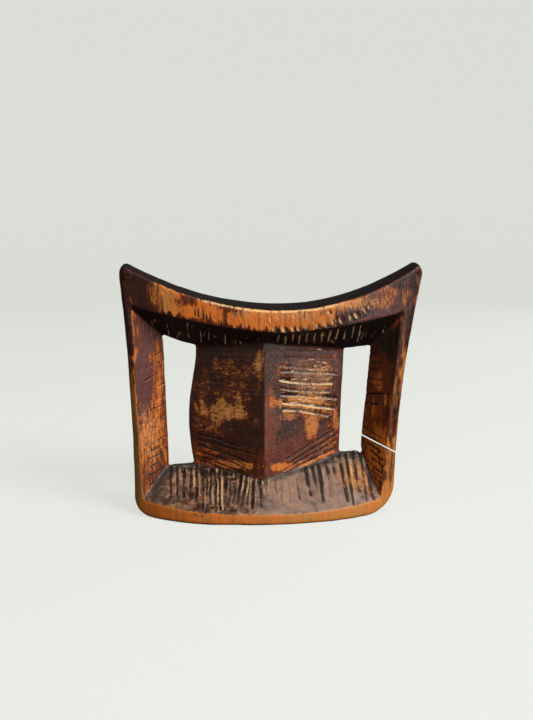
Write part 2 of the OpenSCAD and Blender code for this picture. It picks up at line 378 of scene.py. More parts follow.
def face_patches(points, normals, weight_of):
    """Every carved face by name and side, front and back apart."""
    x, y, z = points.T
    nx, ny, nz = normals.T
    deep = np.abs(y)
    outward = np.abs(ny)
    saddle, column, base = (weight_of[k] for k in (SADDLE, COLUMN, BASE))
    post = weight_of[LEFT_POST] + weight_of[RIGHT_UPPER] + weight_of[RIGHT_LOWER]
    side = np.sign(x)
    shapes = {
        "saddle_top": (saddle * ramp(nz, 0.3, 0.5) * ramp(outward, 0.5, 0.3), x, y),
        "saddle_arris": (saddle * ramp(nz, 0.15, 0.4) * ramp(outward, 0.3, 0.5), x, z),
        "saddle_front": (saddle * ramp(outward, 0.3, 0.5) * ramp(nz, -0.5, -0.3), x, z),
        "saddle_under": (saddle * ramp(nz, -0.25, -0.45), x, deep),
        "horn_side": (saddle * ramp(nx * side, 0.5, 0.75), y, z),
        "base_slope": (base * ramp(nz, 0.3, 0.6), x, deep),
        "kerb": (base * ramp(np.abs(nz), 0.7, 0.4), x, z),
        "foot": (base * ramp(nz, -0.4, -0.75), x, y),
        "left_inner": (post * ramp(nx, 0.25, 0.5) * (x < 0), x, z),
        "right_inner": (post * ramp(-nx, 0.25, 0.5) * (x > 0), x, z),
        "left_strip": (post * ramp(nx * side, -0.4, -0.15) * (x < 0), x, z),
        "right_strip": (post * ramp(nx * side, -0.4, -0.15) * (x > 0), x, z),
        "left_facet": (column * ramp(nx, 0.12, -0.12), x, z),
        "right_facet": (column * ramp(nx, -0.12, 0.12), x, z),
    }
    patches = {}
    for name, (weight, u, v) in shapes.items():
        for way in (FRONT, BACK):
            half = weight * ramp(y * way, -0.3, 0.3)
            patches[name, way] = Patch(half, u, v)
        patches[name] = Patch(weight, u, v)
    return patches


# ---- tool marks


def jitter(rng, amount):
    return rng.uniform(-amount, amount)


def scratches(finish_and_light, patch, rng, count, across, down, lean, length, pale, grime=0.25):
    """Light stray scratches that run down a face."""
    for _ in range(count):
        u, v = rng.uniform(*across), rng.uniform(*down)
        end = (u + jitter(rng, lean), v - rng.uniform(*length))
        finish_and_light.cut(patch, (u, v), end, 0.28, 0.07,
                   grime=grime * rng.uniform(0, 1), pale=pale * rng.uniform(0.3, 1))


def close_channels(finish_and_light, patch, rng):
    """Gouge channels that stand close together, on the left of the base's slope."""
    place = -63.0
    while place < -12:
        top = 3 + 8 * ramp(place, -52, -10) + jitter(rng, 1.8)
        low = 24 + 12 * ramp(place, -66, -35) + jitter(rng, 3)
        lean = jitter(rng, 0.7) - 1.4 * ramp(place, -40, -15)
        finish_and_light.cut(patch, (place - lean, top), (place + 0.4 * lean, low),
                   1.05 + jitter(rng, 0.3), 0.85 + jitter(rng, 0.2),
                   grime=1.0 + jitter(rng, 0.25), pale=rng.uniform(0.5, 1.2),
                   bow=jitter(rng, 0.5), fade=rng.uniform(0.0, 0.5))
        place += 4.2 - 1.2 * ramp(place, -58, -40) + jitter(rng, 0.7)


def middle_channels(finish_and_light, patch, rng):
    """One deep channel left of the column's ridge, and shallow ones in front of it."""
    finish_and_light.cut(patch, (-8.2, 16), (-7.2, 37), 1.2, 0.8, grime=0.9, pale=0.9)
    for place in (-3.5, 1, 5.5, 10, 15):
        top = 15 + jitter(rng, 2)
        end = (place + jitter(rng, 1.5), top + 16 + jitter(rng, 5))
        finish_and_light.cut(patch, (place, top), end, 0.9, 0.35,
                   grime=rng.uniform(0.1, 0.6), pale=rng.uniform(0.3, 0.9), bow=jitter(rng, 0.6))


def broad_channels(finish_and_light, patch, rng):
    """Broad, leaning gouge channels, on the right of the base's slope."""
    place = 20.5
    while place < 62:
        top = 9 - 8 * ramp(place, 18, 46) + jitter(rng, 1.2)
        low = top + 25 + jitter(rng, 5)
        finish_and_light.cut(patch, (place, top), (place + 2.2 + jitter(rng, 1), low),
                   1.35 + jitter(rng, 0.4), 0.8 + jitter(rng, 0.2),
                   grime=0.9 + jitter(rng, 0.2), pale=rng.uniform(0.3, 1.0),
                   bow=jitter(rng, 0.7), fade=rng.uniform(0.2, 0.6))
        place += 4.4 + jitter(rng, 0.5)


def scribe_base(finish_and_light, patches, rng, way):
    """Gouge channels that run down the base's slope, and light cuts between them."""
    patch = patches["base_slope", way]
    close_channels(finish_and_light, patch, rng)
    middle_channels(finish_and_light, patch, rng)
    broad_channels(finish_and_light, patch, rng)
    for _ in range(70):
        place, deep = rng.uniform(-74, 66), rng.uniform(4, 34)
        end = (place + jitter(rng, 3), deep + rng.uniform(1, 8))
        finish_and_light.cut(patch, (place, deep), end, 0.3, 0.1,
                   grime=rng.uniform(0, 0.5), pale=rng.uniform(0, 0.8))


def score_left_facet(finish_and_light, patch, rng):
    """Faint level cuts with bare lines between them, and three upright ones."""
    for k in range(12):
        level = 103 - 3.5 * k + jitter(rng, 0.9)
        start = (-43 + rng.uniform(0, 12), level)
        end = (-9 - rng.uniform(0, 12), level + jitter(rng, 1))
        finish_and_light.cut(patch, start, end, 0.45, 0.14, grime=0.5)
        start = (-42 + rng.uniform(0, 14), level - 1)
        end = (-10 - rng.uniform(0, 16), level - 1)
        finish_and_light.cut(patch, start, end, 0.6, 0.02, grime=0, bare=rng.uniform(0.2, 0.55))
    for place in (-33.5, -28, -25):
        high, low = 90 + jitter(rng, 5), 66 + jitter(rng, 6)
        end = (place + jitter(rng, 2), low)
        finish_and_light.cut(patch, (place, high), end, 0.5, 0.08, grime=0.1, bare=0.45)


def score_right_facet(finish_and_light, patch, rng):
    """Level cuts whose ridges carry pale wood and painted highlights, deeper lower down, and short
    ones between them.
    """
    for k in range(9):
        level = 101.5 - 4.5 * k + jitter(rng, 0.9)
        strength = 0.3 + 0.7 * ramp(k, 1, 4)
        start = (rng.uniform(-1, 13), level)
        end = (43 - rng.uniform(0, 7), level - 1 - 0.7 * k + jitter(rng, 0.8))
        finish_and_light.cut(patch, start, end, 0.8, 0.6 * strength, grime=0.8 * strength,
                   pale=rng.uniform(0.4, 1.2) * strength, bow=jitter(rng, 1.0))
    for _ in range(26):
        start, level = rng.uniform(2, 30), rng.uniform(62, 102)
        end = (start + rng.uniform(3, 11), level - rng.uniform(0, 1.5))
        finish_and_light.cut(patch, (start, level), end, 0.4, 0.15, grime=0.5, pale=rng.uniform(0.4, 1.5))


def score_foot(finish_and_light, left, right, rng):
    """Fans of slanting cuts along the foot of both facets."""
    for k in range(7):
        level = 47 - 3.3 * k + jitter(rng, 0.6)
        reach = 47 - 5 * ramp(k, 4, 7)
        end = (-9 - rng.uniform(0, 12), level - 6 - 1.1 * k)
        finish_and_light.cut(left, (-reach, level), end, 0.65, 0.4,
                   grime=0.95, pale=0.3, bow=0.6 + jitter(rng, 0.5))
    for k in range(7):
        level = 50 - 3.7 * k + jitter(rng, 0.7)
        end = (3 + rng.uniform(0, 9), level - 17 + 0.5 * k)
        finish_and_light.cut(right, (41, level), end, 0.6, 0.4,
                   grime=0.9, pale=0.5, bow=-0.6 + jitter(rng, 0.5))


def score_column(finish_and_light, patches, rng, way):
    """Cuts over the column's two facets."""
    left, right = patches["left_facet", way], patches["right_facet", way]
    score_left_facet(finish_and_light, left, rng)
    score_right_facet(finish_and_light, right, rng)
    score_foot(finish_and_light, left, right, rng)
    scratches(finish_and_light, left, rng, 26, (-46, -8), (35, 98), 3, (2, 7), 0.35)
    scratches(finish_and_light, right, rng, 34, (0, 42), (35, 98), 3, (2, 7), 0.6)


def notch_right_post(finish_and_light, patch, rng):
    """Level notches above the crack, and a lattice of slanting and upright ones below it."""
    for k in range(8):
        level = 103.5 - 5.2 * k + jitter(rng, 0.8)
        start = 59.5 + jitter(rng, 1.2)
        end = (start + rng.uniform(6, 15), level + jitter(rng, 0.8) + 1)
        finish_and_light.cut(patch, (start, level), end, 0.6, 0.32, grime=rng.uniform(0.5, 1))
    finish_and_light.cut(patch, (59.5, 72.5), (72, 74.6), 0.6, 0.4, grime=1)
    for k in range(8):
        level = 50.5 - 4.4 * k + jitter(rng, 0.6)
        start = 58.5 + 0.9 * k
        end = (start + rng.uniform(7, 9.5), level - 4.6)
        finish_and_light.cut(patch, (start, level), end, 0.7, 0.42, grime=1)
    for k in range(5):
        place = 61 + 1.1 * k + jitter(rng, 0.5)
        level = 47 - 6 * k
        finish_and_light.cut(patch, (place + 3, level), (place + 3.8, level - 5), 0.55, 0.3, grime=0.85)


def notch_left_post(finish_and_light, patch, rng):
    """Slanting notches up the post, and a lattice at its foot."""
    for k in range(10):
        level = 100 - 6.5 * k + jitter(rng, 1.5)
        start = (-79 + rng.uniform(0, 6), level - 4)
        finish_and_light.cut(patch, start, (-66, level), 0.55, 0.28, grime=rng.uniform(0.3, 0.8), pale=0.5)
    for k in range(5):
        place = -77 + 2.3 * k + jitter(rng, 0.5)
        end = (place + 1.5, 20 - 1.5 * k)
        finish_and_light.cut(patch, (place, 46), end, 0.45, 0.22, grime=0.7, pale=0.3)
    for k in range(5):
        level = 42 - 5 * k + jitter(rng, 0.5)
        finish_and_light.cut(patch, (-76, level - 3), (-67, level), 0.6, 0.3, grime=0.95)


def notch_posts(finish_and_light, patches, rng, way):
    """Notches and scratches on the posts' inner faces."""
    left, right = patches["left_inner", way], patches["right_inner", way]
    notch_right_post(finish_and_light, right, rng)
    notch_left_post(finish_and_light, left, rng)
    scratches(finish_and_light, left, rng, 14, (-82, -66), (40, 115), 1, (4, 14), 0.5)
    scratches(finish_and_light, right, rng, 14, (60, 80), (25, 110), 1, (4, 14), 0.3)


def under_edge(place, deepest):
    """How far forward the head rest's underside reaches, from its reach at the dip."""
    return deepest - 13.5 * ((place - DIP_AT) / 92) ** 2


def comb_underside(finish_and_light, patches, rng, way):
    """Short cuts from the front edge inwards under the head rest, regular on the right."""
    patch = patches["saddle_under", way]
    place = -76.0
    while place < 70:
        regular = ramp(place, 0, 10) * ramp(place, 58, 50)
        start = under_edge(place, 25) - rng.uniform(0, 3) * (2 - regular)
        end = (place + jitter(rng, 0.5), start - rng.uniform(9, 15))
        # The pale crests of these cuts are painted highlights, strongest in the regular run.
        finish_and_light.cut(patch, (place, start), end, 0.6, 0.4,
                   grime=0.5, pale=rng.uniform(0.2, 1.1) + 1.4 * regular)
        place += 4.6 + (1 - regular) * rng.uniform(-1, 4) + jitter(rng, 0.4)
    for _ in range(90):
        place = rng.uniform(-78, 74)
        start = under_edge(place, 24) - rng.uniform(0, 12)
        end = (place + jitter(rng, 4), start - rng.uniform(1, 6))
        finish_and_light.cut(patch, (place, start), end, 0.35, 0.1, grime=0.2, pale=rng.uniform(0.2, 1.6))


def lower_edge(place, lowest):
    """The height of the head rest's lower front edge, from its height at the dip."""
    return lowest + 0.0042 * (place - DIP_AT) ** 2


def edge_nicks(finish_and_light, patch, rng):
    """Nicks, notches and dark ticks along the lower front edge, denser to the right."""
    for k in range(44):
        place = rng.uniform(-8, 78) if k % 4 else rng.uniform(-70, 0)
        level = lower_edge(place, 115.3) + rng.uniform(0, 3.5) + rng.uniform(0, 9) * (k % 3 == 0)
        size = rng.uniform(0.5, 1.3)
        start = (place - 0.6 * size, level + 2 * size)
        end = (place + 0.7 * size, level - 1.4 * size)
        finish_and_light.cut(patch, start, end, 0.4, 0.3, grime=0.35, pale=rng.uniform(0.2, 0.9))
    for k in range(11):
        place = 2 + 5 * k + jitter(rng, 1)
        level = lower_edge(place, 115.5)
        start, end = (place - 0.7, level + 2.5), (place + 1.2, level - 2)
        finish_and_light.cut(patch, start, end, 1.2, 0.5, grime=0.75, pale=0.9)
    for k in range(56):
        place = -46 + 2 * k + jitter(rng, 1.2)
        level = lower_edge(place, 113.4)
        end = (place + jitter(rng, 0.8), level + rng.uniform(1.5, 6))
        finish_and_light.cut(patch, (place, level - 1.5), end, 0.6, 0.25, grime=1.0, fade=0.6)


def horn_ring(finish_and_light, patch):
    """A small raised ring with a dark middle, by the left horn's tip."""
    far = np.hypot(patch.u + 86.5, (patch.v - 147.5) * 1.2)
    finish_and_light.depth[patch.index] += 0.3 * np.exp(-((far - 2.2) / 0.9) ** 2) * patch.weight
    finish_and_light.cover(patch, "grime", 0.7 * np.exp(-((far / 0.9) ** 2)))


def nick_saddle(finish_and_light, patches, rng, way):
    """Marks on the front of the head rest."""
    patch = patches["saddle_front", way]
    edge_nicks(finish_and_light, patch, rng)
    for place, level, size in ((34, 126, 1.0), (38, 121.5, 0.8), (59, 129, 1.0), (56, 126.5, 0.6)):
        start, end = (place - 0.5, level + 1.6), (place + 0.6, level - 1.6)
        finish_and_light.cut(patch, start, end, size, 0.6, grime=0.6, pale=0.8)
    scratches(finish_and_light, patch, rng, 40, (-85, 88), (118, 150), 1.2, (3, 9), 0.3, 0.5)
    horn_ring(finish_and_light, patch)


def drying_checks(finish_and_light, patches, way):
    """Fine splits that run along the grain, up from the foot and down the right post."""
    kerb = patches["kerb", way]
    for place in (-40.6, -39.2):
        finish_and_light.cut(kerb, (place, -1), (place + 0.2, 8.5), 0.2, 0.35, grime=0.8)
    slope = patches["base_slope", way]
    finish_and_light.cut(slope, (-40.3, 38), (-39.5, 31), 0.25, 0.3, grime=0.8)
    strip = patches["right_strip", way]
    finish_and_light.cut(strip, (80, 70), (75, 18), 0.3, 0.3, grime=0.5, pale=0.7, bow=0.8)
    finish_and_light.cut(strip, (75, 52), (74, 14), 0.35, 0.25, grime=0.8, bow=-0.5)


def tool_marks(finish_and_light, patches, points):
    """All the marks, drawn for the front and, from other random places, for the back."""
    for way, seed in ((FRONT, 11), (BACK, 23)):
        rng = np.random.default_rng(seed)
        for work in (scribe_base, score_column, notch_posts, comb_underside, nick_saddle):
            work(finish_and_light, patches, rng, way)
        drying_checks(finish_and_light, patches, way)
    finish_and_light.depth += 0.32 * fractal(points, 24, 3) + 0.1 * noise(points, 6, 9)
    finish_and_light.depth += 0.05 * noise(points, (1.6, 1.6, 9), 14)


# ---- colour fields

# The stains, worn spots, painted violet sheen and painted highlights of each face by field, as
# cloudy ovals. Each has its middle, its half width and half height in mm, and its strength. A
# strength below 0 takes the field away.
STAINS_AND_LIGHT = {
    "saddle_front": {
        "wear": [
            (-70, 137, 5.5, 9, 0.62), (47, 124, 9, 4, -0.8), (-50, 133, 8, 4, -0.6),
            (-89.5, 141, 2, 9, 0.4), (-87, 131, 4, 5, 0.4), (81, 136, 3.5, 12, 0.5),
            (88.5, 144, 1.5, 4, 0.7), (66, 131, 9, 4, 0.6), (44, 132, 16, 4, 0.75),
            (70, 137, 9, 5, 0.55), (84, 128, 3, 9, 0.4),
        ],
        # The violet ovals are a painted sheen and the pale ones painted highlights.
        "violet_sheen": [(58, 130, 24, 14, 0.75), (-82, 140, 10, 16, 0.25)],
        "grime": [(62, 126, 18, 4, 0.3), (84, 145, 10, 8, 0.6), (-20, 132, 26, 1.6, 0.3)],
        "pale": [(44, 131, 24, 5, 0.42), (2, 125, 30, 4, 0.4)],
    },
    "left_facet": {
        "wear": [
            (-30, 63, 15, 9, 0.72), (-41, 78, 6, 14, 0.4), (-24, 74, 14, 12, 0.42),
            (-40, 57, 9, 12, 0.45), (-8, 93, 4, 10, 0.75), (-10, 78, 5, 6, 0.45),
            (-24, 89, 14, 7, 0.42), (-42, 38, 8, 5, 0.5), (-26, 30, 20, 2.5, 0.75),
        ],
    },
    "right_facet": {
        "wear": [
            (33, 96, 9, 3, 0.5), (32, 89, 9, 5, 0.56), (5, 88, 6, 8, 0.5),
            (31, 79, 12, 4, 0.54), (12, 77, 13, 3, 0.48), (18, 69, 20, 5, 0.74),
            (34, 62, 9, 6, 0.55), (12, 62, 9, 4, 0.6), (24, 54, 5, 11, 0.76),
            (38, 50, 5, 8, 0.5), (36, 40, 8, 5, 0.5), (10, 44, 5, 10, 0.3),
            (22, 29, 20, 3, 0.85), (36, 33, 8, 4, 0.85), (41, 56, 2.5, 14, 0.7),
        ],
    },
    # A painted violet sheen and painted highlights, with warm and dark tints.
    "right_facet_tints_and_sheen": {
        "violet_sheen": [(28, 88, 20, 18, 0.8), (30, 52, 10, 12, 0.5), (2, 58, 8, 26, -0.9)],
        "pale": [(26, 82, 18, 16, 0.42), (20, 68, 18, 8, 0.4)],
        "warm": [(-2, 58, 7, 24, 0.95)],
        "grime": [(22, 40, 16, 9, 0.36)],
    },
    "left_inner": {
        # A painted violet sheen high on the inner face, and pale wood with painted highlights lower
        # down.
        "violet_sheen": [(-79, 86, 7, 32, 0.95)],
        "wear": [(-78, 84, 5, 26, -0.6), (-70, 80, 4, 30, 0.58), (-74, 48, 9, 20, 0.7)],
        "pale": [(-76, 50, 9, 26, 0.4)],
        "grime": [(-70, 112, 12, 8, 0.45)],
    },
    "right_inner": {
        "wear": [(70, 92, 14, 16, -0.75), (66, 82, 4, 8, 0.6), (67, 38, 8, 16, 0.85)],
        "grime": [(75, 107, 16, 15, 0.8), (75, 82, 3, 22, 0.55), (73, 58, 3, 16, 0.5)],
    },
    "left_strip": {
        "wear": [
            (-86, 122, 12, 20, -0.9), (-80, 96, 4, 18, -0.5), (-82, 66, 7, 26, 0.8),
            (-80, 22, 12, 36, 1.1),
        ],
        # Pale wood with a painted sheen low on the strip, and a painted violet sheen at its head.
        "pale": [(-78, 34, 16, 40, 0.3)],
        "warm": [(-78, 34, 16, 40, -0.5)],
        "violet_sheen": [(-86, 122, 10, 16, 0.5)],
    },
    "right_strip": {
        "wear": [
            (82, 112, 12, 14, -0.7), (81, 76, 2.5, 40, 0.7), (76, 28, 10, 26, 0.6),
            (78, 8, 16, 16, 1.0), (82, 62, 2.5, 14, -0.7),
        ],
        "grime": [(79, 40, 2, 16, 0.4), (76, 78, 2.2, 26, 0.5)],
        "violet_sheen": [(84, 112, 6, 20, 0.3)],
    },
    "base_slope": {
        "grime": [
            (-58, 1, 20, 6, 0.9), (-72, 14, 6, 16, 0.75), (56, 1, 20, 6, 0.9),
            (69, 16, 5, 12, 0.7), (0, 23, 8, 6, 0.3), (-66, 8, 9, 6, 0.6),
        ],
        "wear": [(50, 13, 18, 10, 0.7)],
        "dust_and_sheen": [(56, 13, 14, 10, -0.55)],
        "pale": [(8, 24, 16, 5, 0.3), (-44, 15, 10, 4, 0.4), (-50, 26, 24, 4, 0.25)],
    },
}


def weather_and_light_saddle_front(finish_and_light, patch):
    """Bare and orange in the middle, dark along a ragged fringe and at the horns, with painted
    highlights and a painted violet sheen.
    """
    x = patch.u
    clouds, streaks = finish_and_light.clouds[patch.index], finish_and_light.streaks[patch.index]
    rise = patch.v - (113.5 + 17.5 * (np.abs(x - DIP_AT) / 98.8) ** 1.5)
    middle = ramp(x, -78, -60) * ramp(x, 78, 56)
    fade = 1.0 - 0.3 * ramp(x, 4, 34) - 0.3 * ramp(x, 40, 58)
    level = middle * fade * ramp(rise + 2.2 * streaks, -0.5, 3.5)
    fringe = 15.5 - 0.16 * (x + 50) + 2.5 * clouds + 1.5 * streaks
    level = level * (1 - ramp(x, -12, -32) * ramp(rise, fringe - 4, fringe + 2))
    level = level + 0.22 * streaks + 0.18 * clouds
    finish_and_light.blend(patch, "wear", np.clip(level, 0, 1.15))
    finish_and_light.blend(patch, "warm", 0.4 + 0.45 * ramp(x, -62, -52) - 0.3 * ramp(x, -10, 16))
    finish_and_light.clear(patch, "wear", (-28.9, 125), (1.3, 12), 0.7, ragged=0.2)
    finish_and_light.stain_and_light(patch, "saddle_front")


def weather_and_light_saddle(finish_and_light, patches):
    """A worn front with a painted highlight along its upper edge, a grimy top with a painted grey
    sheen on its left, an underside darkened by grime and painted shade, and dull horn sides.
    """
    for way in (FRONT, BACK):
        weather_and_light_saddle_front(finish_and_light, patches["saddle_front", way])
        # A painted highlight along the upper front edge, brightest in the middle.
        arris = patches["saddle_arris", way]
        edge_highlight = ramp(arris.u, -52, -36) * ramp(arris.u, 52, 34)
        edge_highlight = edge_highlight * (0.7 + 0.4 * finish_and_light.streaks[arris.index])
        finish_and_light.cover(arris, "pale", 1.1 * edge_highlight)
    top = patches["saddle_top"]
    finish_and_light.cover(top, "grime", 0.8)
    # A painted grey sheen over the left of the top, mixed in as dust.
    finish_and_light.spot(top, "dust_and_sheen", (-62, 0), (34, 60), 0.25)
    # The underside is near black: grime, and painted shade under the head rest.
    under = patches["saddle_under"]
    finish_and_light.cover(under, "grime", 0.9 + 0.1 * finish_and_light.clouds[under.index])
    finish_and_light.cover(patches["horn_side"], "wear", 0.35)


def weather_and_light_left_facet(finish_and_light, patch):
    """Golden specks on dark patina, orange at the foot."""
    finish_and_light.cover(patch, "wear", 0.16)
    finish_and_light.stain_and_light(patch, "left_facet", ragged=0.95)
    finish_and_light.blend(patch, "warm", 0.1 + 0.3 * ramp(patch.u, -32, -46) + 0.5 * ramp(patch.v, 48, 38))
    finish_and_light.wear[patch.index] += 0.16 * finish_and_light.dashes[patch.index] * patch.weight
    # A painted violet sheen along the top.
    finish_and_light.spot(patch, "violet_sheen", (-14, 99), (20, 6), 0.5)


def weather_and_light_right_facet(finish_and_light, patch):
    """Orange wear in level bands under painted salmon highlights and a painted violet sheen, with a
    plain red-brown strip along the ridge.
    """
    finish_and_light.wear[patch.index] += 0.3 * finish_and_light.dashes[patch.index] * patch.weight
    finish_and_light.cover(patch, "wear", 0.33)
    finish_and_light.clear(patch, "wear", (1, 54), (8, 24), 0.8)
    finish_and_light.clear(patch, "wear", (22, 42), (18, 8), 0.5)
    finish_and_light.stain_and_light(patch, "right_facet", ragged=0.9)
    finish_and_light.blend(patch, "warm", 0.5 + 0.4 * ramp(patch.v, 52, 42) - 0.15 * ramp(patch.u, 25, 8))
    finish_and_light.stain_and_light(patch, "right_facet_tints_and_sheen")


def weather_and_light_column(finish_and_light, patches):
    """The column's facets, darker where they meet the head rest."""
    for way in (FRONT, BACK):
        weather_and_light_left_facet(finish_and_light, patches["left_facet", way])
        weather_and_light_right_facet(finish_and_light, patches["right_facet", way])
    for patch in (patches["left_facet"], patches["right_facet"]):
        finish_and_light.cover(patch, "grime", 0.6 * ramp(patch.v, 101, 106))


def weather_and_light_posts(finish_and_light, patches):
    """Orange-brown posts with dark heads, and a painted violet sheen on the left inner face."""
    faces = {
        "left_inner": (0.5, 0.8),
        "right_inner": (0.5, 0.95),
        "left_strip": (0.6, 0.5),
        "right_strip": (0.5, 0.4),
    }
    for name, (level, warm) in faces.items():
        patch = patches[name]
        clouds, streaks = finish_and_light.clouds[patch.index], finish_and_light.streaks[patch.index]
        finish_and_light.cover(patch, "wear", level + 0.3 * clouds + 0.2 * streaks)
        finish_and_light.blend(patch, "warm", warm)
    for way in (FRONT, BACK):
        for name in faces:
            finish_and_light.stain_and_light(patches[name, way], name)


def weather_and_light_kerb(finish_and_light, patch):
    """Bare, warm wood, paler to the right, where painted light stands for light falling from that
    side.
    """
    # right: painted light, brighter and paler towards the right.
    clouds, right = finish_and_light.clouds[patch.index], ramp(patch.u, -30, 30)
    finish_and_light.cover(patch, "wear", 0.95 + 0.35 * clouds + 0.15 * right)
    finish_and_light.blend(patch, "warm", 0.68 - 0.3 * right + 0.3 * clouds)


def weather_and_light_slope(finish_and_light, patch):
    """Dry, dusty wood that shows through in dashes."""
    clouds, dashes = finish_and_light.clouds[patch.index], finish_and_light.dashes[patch.index]
    finish_and_light.cover(patch, "dust_and_sheen", 0.5 + 0.3 * ramp(patch.u, -20, 0) + 0.3 * clouds)
    finish_and_light.cover(patch, "wear", 0.4 + 0.3 * clouds + 0.25 * dashes)
    finish_and_light.blend(patch, "warm", 0.25)
    # A painted violet sheen over the slope.
    finish_and_light.cover(patch, "violet_sheen", 0.35)


def soil_slope(finish_and_light, patch):
    """Grime along the column's foot and in the corners, with pale flecks in it."""
    foot_line = np.interp(patch.u, (-52, -8, 46), (3, 15.5, 2))
    band = ramp(patch.v - foot_line + 3 * finish_and_light.clouds[patch.index], 8, 1)
    flecks = ramp(finish_and_light.dashes[patch.index], 0.1, 0.6)
    finish_and_light.cover(patch, "grime", 0.85 * band)
    finish_and_light.cover(patch, "pale", 0.5 * band * flecks)
    finish_and_light.stain_and_light(patch, "base_slope")
    finish_and_light.spot(patch, "pale", (6, 30), (5, 7), 0.4, ragged=0.9)


def weather_and_light_base(finish_and_light, patches):
    """A dry, dusty slope inside a bare, warm kerb."""
    weather_and_light_kerb(finish_and_light, patches["kerb"])
    weather_and_light_slope(finish_and_light, patches["base_slope"])
    for way in (FRONT, BACK):
        soil_slope(finish_and_light, patches["base_slope", way])
    foot = patches["foot"]
    finish_and_light.cover(foot, "wear", 0.7 + 0.2 * finish_and_light.clouds[foot.index])


def shade_creases(finish_and_light, surface, normals):
    """Bare wood on worn arrises with a painted highlight on the sharpest, and darkening in hollows
    that is partly grime and partly painted shade, from how the surface bends.
    """
    bend = np.einsum("ij,ij->i", surface.neighbour_mean(surface.points) - surface.points, normals)
    fine = surface.smoothed(bend, 3)
    broad = surface.smoothed(bend, 14)
    wide = surface.smoothed(bend, 130)
    # Hollows and broad basins are darkened: grime, and painted shade as in a crease.
    shaded_hollow = ramp(broad + 0.006 * finish_and_light.clouds, 0.01, 0.035)
    basin = ramp(wide + 0.003 * finish_and_light.clouds, 0.001, 0.008) * ramp(normals[:, 2], 0.2, 0.5)
    finish_and_light.grime[:] = np.maximum(finish_and_light.grime, np.maximum(0.8 * shaded_hollow, 0.62 * basin))
    arris = ramp(-fine, 0.02, 0.06) * (0.6 + 0.4 * finish_and_light.streaks)
    finish_and_light.wear[:] = np.maximum(finish_and_light.wear, 0.75 * arris)
    finish_and_light.grime[:] = finish_and_light.grime * (1 - 0.7 * arris)
    # A painted highlight along the sharpest edges.
    finish_and_light.pale[:] = np.maximum(finish_and_light.pale, 0.5 * ramp(-fine, 0.035, 0.08))


# ---- cutting the block into its members


def fitted_plane(points):
    """A plane's point and normal, by least squares."""
    middle = points.mean(axis=0)
    return middle, np.linalg.svd(points - middle)[2][2]


def folded(points):
    """The same points with front and back laid over each other."""
    return np.column_stack([points[:, 0], np.abs(points[:, 1]), points[:, 2]])


def seam_plane(solids, a, b):
    """The plane, in folded space, in which two members touch."""
    trees = [BVHTree.FromPolygons(solids[k][0].tolist(), solids[k][1].tolist()) for k in (a, b)]
    touching = [p for p in solids[a][0] if trees[1].find_nearest(p)[3] < 0.35]
    touching += [p for p in solids[b][0] if trees[0].find_nearest(p)[3] < 0.35]
    middle, normal = fitted_plane(folded(np.array(touching)))
    towards_b = solids[b][0].mean(axis=0) - solids[a][0].mean(axis=0)
    return middle, normal if normal[2] * towards_b[2] > 0 else -normal


def snap_to(surface, height, chosen):
    """Moves the nearer end of each crossed edge along it onto height 0, and updates height."""
    edges = sides_of(surface.triangles)
    edges = edges[chosen[edges].all(axis=1)]
    crossing = edges[height[edges[:, 0]] * height[edges[:, 1]] < 0]
    order = np.argsort(np.abs(height[crossing]).min(axis=1))
    for a, b in crossing[order]:
        if height[a] * height[b] >= 0:
            continue
        near, far = (a, b) if abs(height[a]) < abs(height[b]) else (b, a)
        share = height[near] / (height[near] - height[far])
        surface.points[near] += (surface.points[far] - surface.points[near]) * share
        height[near] = 0


def cut_members(surface, member, solids, gap_points):
    """Gives each triangle to one member, with clean edges along the seams and the crack."""
    member = member.copy()
    member[member == RIGHT_LOWER] = RIGHT_UPPER
    on_seam = np.zeros(len(member), bool)
    for a, b in SEAMS:
        middle, normal = seam_plane(solids, a, b)
        a, b = (RIGHT_UPPER if k == RIGHT_LOWER else k for k in (a, b))
        height = (folded(surface.points) - middle) @ normal
        band = ((member == a) | (member == b)) & (np.abs(height) < SEAM_BAND)
        snap_to(surface, height, band)
        member[band & (height < 0)] = a
        member[band & (height > 0)] = b
        on_seam |= band & (height == 0)
    middle = np.vstack(gap_points).mean(axis=0)
    normal = fitted_plane(gap_points[0])[1]
    normal = normal * np.sign(normal[2])
    height = (surface.points - middle) @ normal
    post = member == RIGHT_UPPER
    band = post & (np.abs(height) < SEAM_BAND)
    snap_to(surface, height, band)
    member[post & (height < 0)] = RIGHT_LOWER
    on_seam |= band & (height == 0)
    gap = (gap_points[0].mean(axis=0) - gap_points[1].mean(axis=0)) @ normal
    labels = np.where(on_seam, -1, member)
    owner = labels[surface.triangles].max(axis=1)
    lost = owner < 0
    owner[lost] = member[surface.triangles[lost, 0]]
    return owner, (height, normal, gap / 2)


def boundary_loops(triangles):
    """Closed runs of points along the open edges, each in the order that a cap needs."""
    edges = sides_of(triangles)
    keys = np.sort(edges, axis=1)
    _, where, counts = np.unique(keys, axis=0, return_inverse=True, return_counts=True)
    follow = {}
    for a, b in edges[counts[where.ravel()] == 1]:
        follow.setdefault(b, []).append(a)
    loops = []
    while follow:
        start = next(iter(follow))
        loop = [start]
        while True:
            ends = follow[loop[-1]]
            step = ends.pop()
            if not ends:
                del follow[loop[-1]]
            if step == start:
                break
            loop.append(step)
        loops.append(loop)
    return loops


def cap(points, loop):
    """Triangles that close a loop, facing the way that its order says."""
    corners = [Vector(points[k]) for k in loop]
    ring = points[loop]
    facing = np.cross(ring, np.roll(ring, -1, axis=0)).sum(axis=0)
    faces = []
    for face in tessellate_polygon([corners]):
        a, b, c = (ring[k] for k in face)
        turned = np.cross(b - a, c - a) @ facing < 0
        faces.append([loop[k] for k in (face[::-1] if turned else face)])
    return faces


